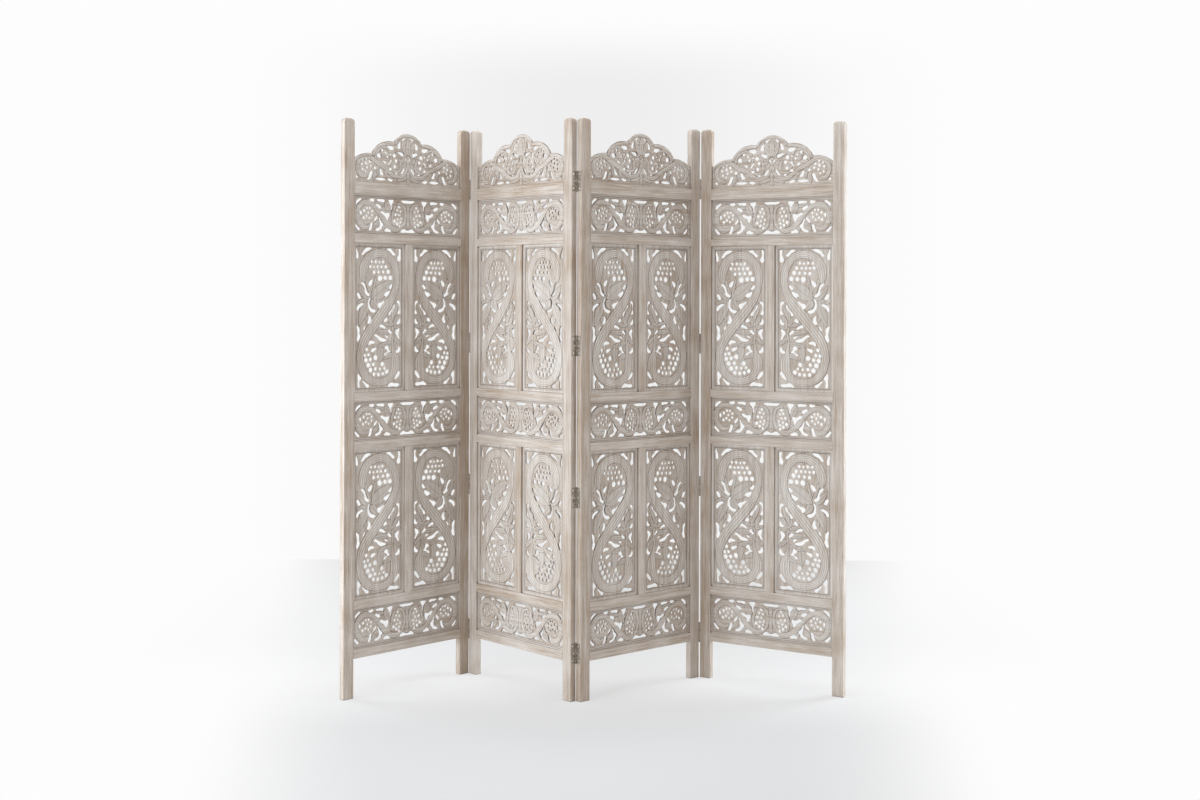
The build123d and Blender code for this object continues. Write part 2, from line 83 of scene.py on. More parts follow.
def linear(hexColour):
    # sRGB hex to linear: the piecewise curve of the sRGB standard
    channels = [int(hexColour[i:i + 2], 16) / 255 for i in (1, 3, 5)]
    return tuple(c / 12.92 if c <= 0.04045 else ((c + 0.055) / 1.055) ** 2.4 for c in channels) + (1.0,)


def addNode(tree, kind, *values, give=0, **named):
    # One node, and the output that it gives. A Math is followed by its operation. Values go to the
    # inputs in order; a named one is a setting of the node or else an input, where i6 is the input
    # of that number; a socket among them is linked. Stops are a ramp's places and colours.
    kind, _, operation = kind.partition(" ")
    node = tree.nodes.new("ShaderNode" + kind)
    if operation:
        node.operation = operation
    stops = named.pop("stops", None)
    if stops:
        elements = node.color_ramp.elements
        while len(elements) < len(stops):
            elements.new(0.5)
        for element, (place, colour) in zip(elements, stops):
            element.position = place
            element.color = linear(colour)
    inputs = dict(enumerate(values))
    for key, value in named.items():
        if hasattr(node, key):
            setattr(node, key, value)
        else:
            inputs[int(key[1:]) if key[1:].isdigit() else key.replace("_", " ")] = value
    for key, value in inputs.items():
        if isinstance(value, bpy.types.NodeSocket):
            tree.links.new(value, node.inputs[key])
        else:
            node.inputs[key].default_value = value
    return node.outputs[give] if node.outputs else None


def newMaterial(name):
    # an empty material, and the function that adds a node to it
    material = bpy.data.materials.new(name)
    material.use_nodes = True
    material.node_tree.nodes.clear()
    return material, partial(addNode, material.node_tree)


smooth = {"interpolation_type": "SMOOTHSTEP"}  # a range with soft ends

# Limewashed mango wood: planed, stained, brushed with a white wash and rubbed back. Fine pale and
# grey-brown streaks run with the grain, short dark pores lie in them, and stain with painted shade
# darkens every corner and carved line. Lengths are in millimetres.
wood = {
    "streakAcross": 1.6,
    "streakAlong": 70.0,
    "streakShare": 0.45,  # of the tone; the figure's share and the whole board's follow
    "figureAcross": 9.0,
    "figureAlong": 260.0,
    "figureShare": 0.3,
    "boardPatch": 110.0,
    "boardShare": 0.25,
    "poreAcross": 0.9,
    "poreAlong": 13.0,
    "poreNoise": (0.38, 0.24),  # noise at which a pore begins and is full
    "tones": ((0.35, "#ad9a87"), (0.5, "#ccc2b8"), (0.65, "#e2dcd5")),  # brown, taupe, all wash
    "raisedLift": 0.05,  # lighter on the raised forms of a carving, darker on the deep ground
    # the stain's colour, which also serves for the painted shade in corners, cuts and the punched ground
    "colourOfStainAndShade": "#5e4d40",
    "poreStain": 0.45,  # how much of the stain shows in a pore, and so on; from corners on, stain with painted shade
    "frameCornerStainAndShade": 0.9,
    "carvedCornerStainAndShade": 0.6,
    "lineStainAndShade": 0.68,
    "innerLineStainAndShade": 0.7,  # of that, in the lines inside a form
    # in the punched ground the darkening is painted shade alone
    "punchShade": 0.3,
    "crevice": 6.0,  # within which stain and painted shade collect in a corner
    "creviceRange": (0.8, 0.35),  # openness at which it begins and is full
    "stipple": 3.4,  # between the punch marks in the carver's ground
    "bump": 0.8,
    "bumpStrength": 0.7,
    "streakBump": 0.25,  # share of the bump that a streak, a pore and a punch mark take
    "poreBump": 0.5,
    "punchBump": 0.6,
    "roughness": 0.75,
    "shine": 0.3,
}

# The carved boards, in millimetres: front and back face in the wing's depth, the tongues at the
# sides and at the foot that sit in grooves, and the mesh pitch
boards = {"front": 7.0, "back": 15.0, "tongue": 7.0, "foot": 8.0, "pitch": 2.4}

# The carver's cuts, in millimetres under the face unless a comment says otherwise
carving = {
    "ground": 1.5,
    "deepest": 2.2,
    "groove": 0.5,  # more than the ground, round each form
    "grooveReach": (0.5, 2.5),  # from the outline of the form
    "shoulder": (-0.3, 1.3),  # across the outline, where a form drops to the ground
    "crown": 0.9,  # how far a form falls from its middle to its sides
    "crownCurve": 2.5,  # the power by which it falls
    "leafSwell": 0.75,  # below 1 a leaf is widest towards its stalk
    "leafBlunt": 0.8,  # below 1 its ends are blunter
    "vein": 5.5,  # between the veins of a leaf
    "veinLean": 0.8,  # how far a vein runs forward for each millimetre from the midrib
    "bunchGround": 1.8,
    "bunchEdge": (0.92, 1.08),  # of the bunch's half sizes, over which it ends
    "grapeRim": 1.5,  # how high the ring round a grape stands
    "grapeRimAt": 1.4,  # from the grape's hole, and that ring's width
    "grapeRimWidth": 1.5,
    "borderEdge": (-0.8, 1.2),  # across the border's edge, where it drops
    "borderLine": 4.0,  # from the border's edge
    "worn": 0.5,  # how far a cut's edge is rubbed down, and over which width
    "wornWidth": 1.5,
    "openingEdge": (-1.0, 0.5),  # across the opening's edge, where the relief begins
    "crisp": 48,  # degrees; sharper edges aren't smoothed over
    "far": 9.0,  # stands for no line near
}

# Where each cut mark begins and where it is full: phase from the middle of a band, millimetres from
# a midrib and from an outline, distance in a punch cell, and depth of the stippled ground
marks = {"band": (0.30, 0.46), "midrib": (1.2, 0.4), "outline": (1.7, 0.5), "punch": (0.5, 0.15),
         "ground": (0.9, 1.4)}


def carvedMarks(add, place):
    # Lines are cut wherever the phase is whole. In a leaf it falls with the distance from the
    # midrib, so that the veins lean; the midrib and the outline of each form are lines too, and
    # the ground is stippled with a punch. Given back are the three kinds of mark, each 0 to 1.
    field = {key: add("Attribute", attribute_name=key, give="Fac")
             for key in ("carveDepth", "linePhase", "ribOffset", "veined", "lineMask", "rimGap")}
    rib = add("Math ABSOLUTE", field["ribOffset"])
    lean = add("Math MULTIPLY", field["veined"], carving["veinLean"] / carving["vein"])
    phase = add("Math SUBTRACT", field["linePhase"], add("Math MULTIPLY", rib, lean))
    fromMiddle = add("Math ABSOLUTE", add("Math SUBTRACT", add("Math FRACT", phase), 0.5))
    bands = add("MapRange", fromMiddle, *marks["band"], 0.0, 1.0, **smooth)
    midrib = add("MapRange", rib, *marks["midrib"], 0.0, 1.0, **smooth)
    inner = add("Math MULTIPLY", add("Math MAXIMUM", bands, midrib), field["lineMask"])
    outline = add("MapRange", field["rimGap"], *marks["outline"], 0.0, 1.0, **smooth)
    cells = add("TexVoronoi", Vector=place, Scale=1000 / wood["stipple"])
    spots = add("MapRange", cells, *marks["punch"], 0.0, 1.0, **smooth)
    ground = add("MapRange", field["carveDepth"], *marks["ground"], 0.0, 1.0, **smooth)
    return inner, outline, add("Math MULTIPLY", spots, ground)


def woodMaterial(name, turn, along, carved, washAndShade=0.0):
    # Streak, figure and whole board make the tone, each with its share, and the tone makes the
    # colour; stain then darkens pores, and stain with painted shade darkens corners and cuts. The
    # last argument makes the whole piece lighter or darker: its own take of the wash, and painted
    # light and shade.
    material, add = newMaterial(name)
    place = add("TexCoord", give="Object")
    turned = add("Mapping", place, Rotation=(0, 0, -math.radians(turn)))

    def grain(kind, detail, start):
        # noise drawn out along the grain; each kind starts at a place of its own
        across, length = 1000 / wood[kind + "Across"], 1000 / wood[kind + "Along"]
        size = (length, across, across) if along == "X" else (across, across, length)
        moved = add("Mapping", turned, Location=(start, start * 1.7, start * 0.6), Scale=size)
        return add("TexNoise", Vector=moved, Scale=1.0, Detail=detail, Roughness=0.55)

    def withStainAndShade(amount, colour):
        return add("Mix", amount, i6=colour, i7=linear(wood["colourOfStainAndShade"]), data_type="RGBA", give=2)

    streak = grain("streak", 3.0, 3.1)
    figure = grain("figure", 2.0, 7.3)
    pore = grain("pore", 1.0, 11.9)
    board = add("TexNoise", Vector=turned, Scale=1000 / wood["boardPatch"], Detail=2.0)
    tone = add("Math MULTIPLY", streak, wood["streakShare"])
    tone = add("Math ADD", tone, add("Math MULTIPLY", figure, wood["figureShare"]))
    tone = add("Math ADD", tone, add("Math MULTIPLY", board, wood["boardShare"]))
    tone = add("Math ADD", tone, washAndShade)
    if carved:
        # lighter on the raised forms and darker on the deep ground
        depth = add("Attribute", attribute_name="carveDepth", give="Fac")
        raised = add("Math SUBTRACT", carving["crown"], depth)
        tone = add("Math ADD", tone, add("Math MULTIPLY", raised, wood["raisedLift"]))
    colour = add("ValToRGB", tone, stops=wood["tones"])
    pores = add("MapRange", pore, *wood["poreNoise"], 0.0, wood["poreStain"], **smooth)
    colour = withStainAndShade(pores, colour)
    # stain and painted shade in every corner, by how closed in each place is
    openness = add("AmbientOcclusion", Distance=wood["crevice"] / 1000, samples=8, give="AO")
    cornerStainAndShade = wood["carvedCornerStainAndShade"] if carved else wood["frameCornerStainAndShade"]
    corners = add("MapRange", openness, *wood["creviceRange"], 0.0, cornerStainAndShade, **smooth)
    colour = withStainAndShade(corners, colour)
    height = add("Math SUBTRACT", add("Math MULTIPLY", streak, wood["streakBump"]),
                 add("Math MULTIPLY", pores, wood["poreBump"]))

    if carved:
        inner, outline, punch = carvedMarks(add, place)
        # painted shade in the punch marks of the ground
        colour = withStainAndShade(add("Math MULTIPLY", punch, wood["punchShade"]), colour)
        lines = add("Math MAXIMUM", add("Math MULTIPLY", inner, wood["innerLineStainAndShade"]), outline)
        # stain and painted shade in the cut lines and outlines
        colour = withStainAndShade(add("Math MULTIPLY", lines, wood["lineStainAndShade"]), colour)
        cut = add("Math MAXIMUM", add("Math MAXIMUM", inner, outline),
                  add("Math MULTIPLY", punch, wood["punchBump"]))
        height = add("Math SUBTRACT", height, cut)

    bump = add("Bump", Strength=wood["bumpStrength"], Distance=wood["bump"] / 1000, Height=height)
    shader = add("BsdfPrincipled", Base_Color=colour, Roughness=wood["roughness"],
                 Specular_IOR_Level=wood["shine"], IOR=1.46, Normal=bump)
    add("OutputMaterial", shader)
    return material


# the carvings of each wing are made lighter or darker: their own take of the wash, and painted light and
# shade
carvedWashAndShade = {"wing_1": 0.025, "wing_2": 0.0, "wing_3": -0.01, "wing_4": 0.02}
carvedUpright, carvedLevel = {}, {}
for wingName, wing in wings.items():
    washAndShade = carvedWashAndShade[wingName]
    carvedUpright[wingName] = woodMaterial("carvedMangoUpright_" + wingName, 0.0, "Z", True, washAndShade)
    carvedLevel[wingName] = woodMaterial("carvedMangoLevel_" + wingName, wing["turn"], "X", True, washAndShade)

# and so is every stick of the frames: its own take of the wash, and painted shade
frameWashAndShade = {
    "wing_1": {"left_stile": -0.055, "right_stile": -0.10, "rails": -0.01, "muntins": 0.0},
    "wing_2": {"left_stile": 0.0, "right_stile": -0.045, "rails": -0.045, "muntins": -0.08},
    "wing_3": {"left_stile": -0.08, "right_stile": -0.04, "rails": -0.035, "muntins": -0.03},
    "wing_4": {"left_stile": -0.085, "right_stile": -0.04, "rails": -0.03, "muntins": -0.035},
}

# Zinc-plated steel, tumbled and dulled: grey-brown plate with paler spots where it was rubbed, and
# painted shade in every corner and round the barrel. Lengths are in millimetres.
hingeMetal = {
    # each metal's last value is how much painted shade it takes
    "leaf": {"pale": "#bab0a4", "dull": "#857a6e", "spot": 6.0, "roughness": 0.5, "shadeAmount": 0.9},
    "screw": {"pale": "#f4f2ee", "dull": "#d6d1ca", "spot": 3.0, "roughness": 0.45, "shadeAmount": 0.1},
    "pin": {"pale": "#6a625a", "dull": "#37312c", "spot": 3.0, "roughness": 0.5, "shadeAmount": 0.9},
    # the colour of the painted shade
    "paintedShade": "#2b2520",
    "shadeReach": 9.0,
    "shadeRange": (0.75, 0.3),  # openness at which the painted shade begins and is full
    "dullTo": 0.36,  # of the noise, and from where it is pale
    "paleFrom": 0.62,
    "bump": 0.2,
    "bumpStrength": 0.3,
}


def metalMaterial(name, metal):
    # noise turns the plate from dull to pale, and painted shade darkens it wherever it is closed in
    material, add = newMaterial(name)
    place = add("TexCoord", give="Object")
    noise = add("TexNoise", Vector=place, Scale=1000 / metal["spot"], Detail=3.0, Roughness=0.6)
    colour = add("ValToRGB", noise, stops=((hingeMetal["dullTo"], metal["dull"]),
                                           (hingeMetal["paleFrom"], metal["pale"])))
    # painted shade wherever the metal is closed in
    openness = add("AmbientOcclusion", Distance=hingeMetal["shadeReach"] / 1000, samples=8, give="AO")
    shadeAmount = add("MapRange", openness, *hingeMetal["shadeRange"], 0.0, metal["shadeAmount"], **smooth)
    colour = add("Mix", shadeAmount, i6=colour, i7=linear(hingeMetal["paintedShade"]), data_type="RGBA", give=2)
    bump = add("Bump", Strength=hingeMetal["bumpStrength"], Distance=hingeMetal["bump"] / 1000,
               Height=noise)
    shader = add("BsdfPrincipled", Base_Color=colour, Metallic=1.0, Roughness=metal["roughness"],
                 Normal=bump)
    add("OutputMaterial", shader)
    return material


leafMetal = metalMaterial("dulledZincLeaf", hingeMetal["leaf"])
screwMetal = metalMaterial("zincScrew", hingeMetal["screw"])
pinMetal = metalMaterial("shadedPinSteel", hingeMetal["pin"])
print("materials made:", len(bpy.data.materials))


def smoothPath(controls, steps=7):
    # Catmull-Rom through the control rows, each (x, y, half width): every span is cut into steps
    c = np.array(controls, float)
    c = np.vstack([2 * c[0] - c[1], c, 2 * c[-1] - c[-2]])
    t = np.linspace(0, 1, steps, endpoint=False)[:, None, None]
    p0, p1, p2, p3 = c[:-3], c[1:-2], c[2:-1], c[3:]
    rows = 0.5 * (2 * p1 + (p2 - p0) * t + (2 * p0 - 5 * p1 + 4 * p2 - p3) * t ** 2
                  + (3 * p1 - p0 - 3 * p2 + p3) * t ** 3)
    return np.vstack([rows.transpose(1, 0, 2).reshape(-1, c.shape[1]), c[-2]])


def alongPath(points, path):
    # nearest place on the path for every point: signed offset, half width there, length run, total
    a, b = path[:-1], path[1:]
    step = b[:, :2] - a[:, :2]
    length = np.hypot(step[:, 0], step[:, 1])
    run = np.concatenate([[0], np.cumsum(length)])
    gap = points[:, None, :] - a[None, :, :2]
    t = np.clip((gap * step).sum(2) / length ** 2, 0, 1)
    off = gap - t[..., None] * step
    nearest = np.hypot(off[..., 0], off[..., 1]).argmin(1)
    rows = np.arange(len(points))
    t, off = t[rows, nearest], off[rows, nearest]
    side = np.sign(step[nearest, 0] * off[:, 1] - step[nearest, 1] * off[:, 0])
    distance = np.hypot(off[:, 0], off[:, 1])
    half = a[nearest, 2] + (b[nearest, 2] - a[nearest, 2]) * t
    return distance * np.where(side == 0, 1, side), half, run[nearest] + t * length[nearest], run[-1]


def smoothStep(low, high, value):
    # 0 below low, 1 above high, and three times t squared less twice t cubed between
    t = np.clip((value - low) / (high - low), 0, 1)
    return t * t * (3 - 2 * t)


def strokeRelief(points, stroke):
    # One carved form at the points near it: its depth under the face, line phase, offset from the
    # midrib, and the gap to its outline, negative inside. A stroke with a wide value is a leaf whose
    # half width swells from the stalk and closes at the tip; any other is a ribbon in equal bands.
    path = smoothPath([c if len(c) == 3 else (*c, 1.0) for c in stroke["path"]])
    beyond = 4
    reach = stroke.get("wide", path[:, 2].max()) + beyond
    near = np.all((points > path[:, :2].min(0) - reach) & (points < path[:, :2].max(0) + reach), axis=1)
    offset, half, run, total = alongPath(points[near], path)
    if "wide" in stroke:
        share = np.clip(run / total, 0.02, 0.98)
        half = stroke["wide"] * np.sin(np.pi * share ** carving["leafSwell"]) ** carving["leafBlunt"]
        phase, rib = run / carving["vein"], offset
    else:
        phase, rib = (offset / half + 1) * stroke["bands"] / 2, np.full(len(offset), carving["far"])
    across = np.clip(np.abs(offset) / np.maximum(half, 0.5), 0, 1.2)
    depth = carving["crown"] * across ** carving["crownCurve"]
    return near, depth, phase, rib, np.abs(offset) - half


def reliefOf(points, woodGap, design, polygons):
    # Grape rims follow the distance to the nearest cut, and forms are laid over them in turn, the
    # first one of the design on top, with a groove round each. A line fades out before the cells
    # where one form meets another.
    width, height = design["size"]
    drawn = points.copy()
    if design["mirrored"]:
        drawn[:, 0] = np.minimum(drawn[:, 0], width - drawn[:, 0])
    if design["fromTop"]:
        drawn[:, 1] = height - drawn[:, 1]
    count = len(points)
    depth = np.full(count, carving["ground"])
    phase, rib, veined = np.zeros(count), np.full(count, carving["far"]), np.zeros(count)
    gap, owner = np.full(count, carving["far"]), np.zeros(count, int)
    for x, y, rx, ry in design["bunches"]:
        fromCentre = np.hypot((drawn[:, 0] - x) / rx, (drawn[:, 1] - y) / ry)
        ring = np.exp(-((woodGap - carving["grapeRimAt"]) / carving["grapeRimWidth"]) ** 2)
        grapes = carving["bunchGround"] - carving["grapeRim"] * ring
        depth = depth + (grapes - depth) * (1 - smoothStep(*carving["bunchEdge"], fromCentre))
    for number, stroke in enumerate(reversed(design["strokes"]), 1):
        near, formDepth, formPhase, formRib, formGap = strokeRelief(drawn, stroke)
        inside = np.zeros(count, bool)
        inside[near] = formGap < 0
        cover = 1 - smoothStep(*carving["shoulder"], formGap)
        depth[near] += carving["groove"] * (1 - smoothStep(*carving["grooveReach"], formGap))
        depth[near] += (formDepth - depth[near]) * cover
        gap[near] = np.where(formGap < 0, -formGap, np.minimum(gap[near], formGap))
        phase[inside], rib[inside] = formPhase[formGap < 0], formRib[formGap < 0]
        veined[inside], owner[inside] = "wide" in stroke, number
    edge = np.minimum.reduce([points[:, 0], width - points[:, 0], points[:, 1], height - points[:, 1]])
    border = design["border"]
    if border:
        # a plain border stands proud, with one line cut round it
        low, high = carving["borderEdge"]
        margin = 1 - smoothStep(border + low, border + high, edge)
        depth = depth * (1 - margin)
        owner[edge < border] = -1
        lines = np.minimum(np.abs(edge - border), np.abs(edge - border + carving["borderLine"]))
        gap = np.where(edge < border, lines, np.minimum(gap, lines))
    meeting = np.zeros(count, bool)
    for rows in polygons:
        meeting[rows[(owner[rows] != owner[rows][:, :1]).any(1)].ravel()] = True
    depth = depth + carving["worn"] * np.exp(-np.maximum(woodGap, 0) / carving["wornWidth"])
    # the relief ends at the opening's edge, so that the tongue beyond it keeps its full thickness
    depth = np.clip(depth, 0, carving["deepest"]) * smoothStep(*carving["openingEdge"], edge)
    return {"carveDepth": depth, "linePhase": phase, "ribOffset": rib, "veined": veined,
            "lineMask": (owner > 0) & ~meeting, "rimGap": gap}


def openingCorner(nodeName, wing):
    # a carving reaches past the left side and the foot of its opening by its tongues
    low = toWing(vertexPlaces(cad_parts[nodeName].data), wing).min(0)
    return np.round(low[[0, 2]], 1) + (boards["tongue"], boards["foot"])


def cutEdges(nodeName, wing, corner):
    # edges of the flat front face of a carved board, as pairs of x, z from the opening's corner: an
    # edge that only one front triangle uses is on the outline or on a cut
    perMillimetre, flat, near, away = 100, 0.02, 0.01, 50
    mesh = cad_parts[nodeName].data
    places = toWing(vertexPlaces(mesh), wing)
    mesh.calc_loop_triangles()
    triangles = np.empty(len(mesh.loop_triangles) * 3, np.int32)
    mesh.loop_triangles.foreach_get("vertices", triangles)
    _, first, welded = np.unique(np.round(places * perMillimetre).astype(np.int64), axis=0,
                                 return_index=True, return_inverse=True)
    places = places[first]
    triangles = welded.reshape(-1)[triangles.reshape(-1, 3)]
    front = np.all(np.abs(places[triangles][:, :, 1] - boards["front"]) < flat, axis=1)
    edges = triangles[front][:, [0, 1, 1, 2, 2, 0]].reshape(-1, 2)
    _, index, count = np.unique(np.sort(edges, axis=1), axis=0, return_index=True, return_counts=True)
    pairs = places[edges[index[count == 1]]][:, :, [0, 2]] - corner
    # the straight outer edges move well away, so that only cuts and the crest's top count
    low, high = pairs.reshape(-1, 2).min(0), pairs.reshape(-1, 2).max(0)
    for axis in (0, 1):
        pairs[..., axis] -= away * (pairs[..., axis] < low[axis] + near)
        if not (axis == 1 and nodeName.endswith("crest")):
            pairs[..., axis] += away * (pairs[..., axis] > high[axis] - near)
    return pairs


def woodDistance(points, pairs):
    # distance of each point to the nearest edge, negative where a cut leaves no wood (even-odd
    # rule), worked out for a batch of points at a time
    batch = 1500
    a, b = pairs[:, 0], pairs[:, 1]
    step = b - a
    length2 = np.maximum((step ** 2).sum(1), 1e-12)
    slope = step[:, 0] / np.where(np.abs(step[:, 1]) < 1e-9, 1e-9, step[:, 1])
    result = np.empty(len(points))
    for start in range(0, len(points), batch):
        p = points[start:start + batch, None, :]
        gap = p - a
        t = np.clip((gap * step).sum(2) / length2, 0, 1)
        off = gap - t[..., None] * step
        nearest = np.sqrt((off ** 2).sum(2).min(1))
        spans = (a[:, 1] > p[..., 1]) != (b[:, 1] > p[..., 1])
        crossing = spans & (p[..., 0] < a[:, 0] + (p[..., 1] - a[:, 1]) * slope)
        result[start:start + batch] = np.where(crossing.sum(1) % 2 == 1, nearest, -nearest)
    return result


# corners of a cell: 0 1 2 3 anticlockwise, its edges: 4 between 0 and 1, 5, 6, 7; for every pattern
# of corners in wood, the polygons of wood and the border edges of the cut
cellCases = {
    1: ([(0, 4, 7)], [(4, 7)]), 2: ([(1, 5, 4)], [(5, 4)]), 3: ([(0, 1, 5, 7)], [(5, 7)]),
    4: ([(2, 6, 5)], [(6, 5)]), 5: ([(0, 4, 7), (2, 6, 5)], [(4, 7), (6, 5)]),
    6: ([(1, 2, 6, 4)], [(6, 4)]), 7: ([(0, 1, 2), (0, 2, 6, 7)], [(6, 7)]),
    8: ([(3, 7, 6)], [(7, 6)]), 9: ([(0, 4, 6, 3)], [(4, 6)]),
    10: ([(1, 5, 4), (3, 7, 6)], [(5, 4), (7, 6)]), 11: ([(0, 1, 5), (0, 5, 6, 3)], [(5, 6)]),
    12: ([(2, 3, 7, 5)], [(7, 5)]), 13: ([(0, 4, 5), (0, 5, 2, 3)], [(4, 5)]),
    14: ([(1, 2, 3), (1, 3, 7, 4)], [(7, 4)]), 15: ([(0, 1, 2, 3)], []),
}


def piercedSheet(xs, zs, woodGap):
    # Marching squares: grid points in wood and the points where a grid line leaves it, joined into
    # polygons. Returns points, triangles, quads and the border edges with wood on their left. No
    # grid point is left closer to a cut than a share of the pitch, so that no sliver is made.
    closest = 0.12 * boards["pitch"]
    woodGap = np.where(np.abs(woodGap) < closest, np.where(woodGap >= 0, closest, -closest), woodGap)
    solid = woodGap > 0
    nx, nz = woodGap.shape
    gx, gz = np.meshgrid(xs, zs, indexing="ij")
    number = np.full((nx, nz), -1)
    number[solid] = np.arange(solid.sum())
    count = solid.sum()
    leavesX = solid[1:] != solid[:-1]
    share = (woodGap[:-1] / np.where(leavesX, woodGap[:-1] - woodGap[1:], 1))[leavesX]
    edgeX = np.full((nx - 1, nz), -1)
    edgeX[leavesX] = count + np.arange(leavesX.sum())
    count += leavesX.sum()
    onX = np.column_stack([gx[:-1][leavesX] + share * (gx[1:] - gx[:-1])[leavesX], gz[:-1][leavesX]])
    leavesZ = solid[:, 1:] != solid[:, :-1]
    share = (woodGap[:, :-1] / np.where(leavesZ, woodGap[:, :-1] - woodGap[:, 1:], 1))[leavesZ]
    edgeZ = np.full((nx, nz - 1), -1)
    edgeZ[leavesZ] = count + np.arange(leavesZ.sum())
    rise = share * (gz[:, 1:] - gz[:, :-1])[leavesZ]
    onZ = np.column_stack([gx[:, :-1][leavesZ], gz[:, :-1][leavesZ] + rise])
    points = np.vstack([np.column_stack([gx[solid], gz[solid]]), onX, onZ])
    corners = [number[:-1, :-1], number[1:, :-1], number[1:, 1:], number[:-1, 1:],
               edgeX[:, :-1], edgeZ[1:], edgeX[:, 1:], edgeZ[:-1]]
    table = np.stack(corners, -1)
    pattern = sum((corners[k] >= 0).astype(int) << k for k in range(4))
    triangles, quads, border = [], [], []
    for case, (polygons, edges) in cellCases.items():
        rows = table[pattern == case]
        for polygon in polygons:
            (triangles if len(polygon) == 3 else quads).append(rows[:, polygon])
        for edge in edges:
            border.append(rows[:, edge])
    # the straight sides of the sheet, walked anticlockwise
    outer = ((number[:, 0], edgeX[:, 0], False), (number[-1], edgeZ[-1], False),
             (number[:, -1], edgeX[:, -1], True), (number[0], edgeZ[0], True))
    for line, between, backwards in outer:
        start = np.where(line[:-1] >= 0, line[:-1], between)
        end = np.where(line[1:] >= 0, line[1:], between)
        kept = (start >= 0) & (end >= 0) & (start != end)
        pair = np.column_stack([start, end])[kept]
        border.append(pair[:, ::-1] if backwards else pair)
    return points, np.vstack(triangles), np.vstack(quads), np.vstack(border)


def gridLines(length, low, high):
    # lines every pitch over the opening, and one line at each end of the hidden tongue
    inner = np.linspace(0, length, int(round(length / boards["pitch"])) + 1)
    return np.concatenate([[-low], inner, [length + high] if high else []])


def carvedBoard(nodeName, wing, design):
    # one carved board in its opening's own frame: both faces carry the same relief and are joined
    # by walls round the cuts and the outer edge
    width, height = design["size"]
    xs = gridLines(width, boards["tongue"], boards["tongue"])
    zs = gridLines(height, boards["foot"], boards["tongue"] if design["fromTop"] else 0)
    gx, gz = np.meshgrid(xs, zs, indexing="ij")
    pairs = cutEdges(nodeName, wing, openingCorner(nodeName, wing))
    gridGap = woodDistance(np.column_stack([gx.ravel(), gz.ravel()]), pairs).reshape(gx.shape)
    points, triangles, quads, border = piercedSheet(xs, zs, gridGap)
    relief = reliefOf(points, woodDistance(points, pairs), design, (triangles, quads))
    depth = relief["carveDepth"]
    count = len(points)
    places = np.vstack([np.column_stack([points[:, 0], boards["front"] + depth, points[:, 1]]),
                        np.column_stack([points[:, 0], boards["back"] - depth, points[:, 1]])])
    walls = np.column_stack([border[:, 0], border[:, 0] + count, border[:, 1] + count, border[:, 1]])
    faces = [triangles, triangles[:, ::-1] + count, quads, quads[:, ::-1] + count, walls]
    print(nodeName, "relief:", sum(len(f) * (f.shape[1] - 2) for f in faces), "triangles")
    bothFaces = {key: np.tile(values, 2) for key, values in relief.items()}
    return {"places": places, "faces": faces, "relief": bothFaces, "width": width}


def placeBoard(name, board, wing, corner, flipped, material):
    # a copy of a board set in its opening; flipped is the right-hand one, mirrored about its middle
    places = board["places"].copy()
    faces = board["faces"]
    if flipped:
        places[:, 0] = board["width"] - places[:, 0]
        faces = [f[:, ::-1] for f in faces]
    places[:, 0] += corner[0]
    places[:, 2] += corner[1]
    places = toRow(places, wing)
    mesh = bpy.data.meshes.new(name)
    mesh.vertices.add(len(places))
    mesh.vertices.foreach_set("co", places.astype(np.float32).ravel())
    corners = np.concatenate([f.ravel() for f in faces]).astype(np.int32)
    sizes = np.concatenate([np.full(len(f), f.shape[1]) for f in faces])
    mesh.loops.add(len(corners))
    mesh.loops.foreach_set("vertex_index", corners)
    mesh.polygons.add(len(sizes))
    mesh.polygons.foreach_set("loop_start", (np.cumsum(sizes) - sizes).astype(np.int32))
    mesh.update(calc_edges=True)
    mesh.shade_smooth()
    mesh.set_sharp_from_angle(angle=math.radians(carving["crisp"]))
    for key, values in board["relief"].items():
        mesh.attributes.new(key, "FLOAT", "POINT").data.foreach_set("value", values.astype(np.float32))
    mesh.materials.append(material)
    piece = bpy.data.objects.new(name, mesh)
    bpy.context.scene.collection.objects.link(piece)
    return piece


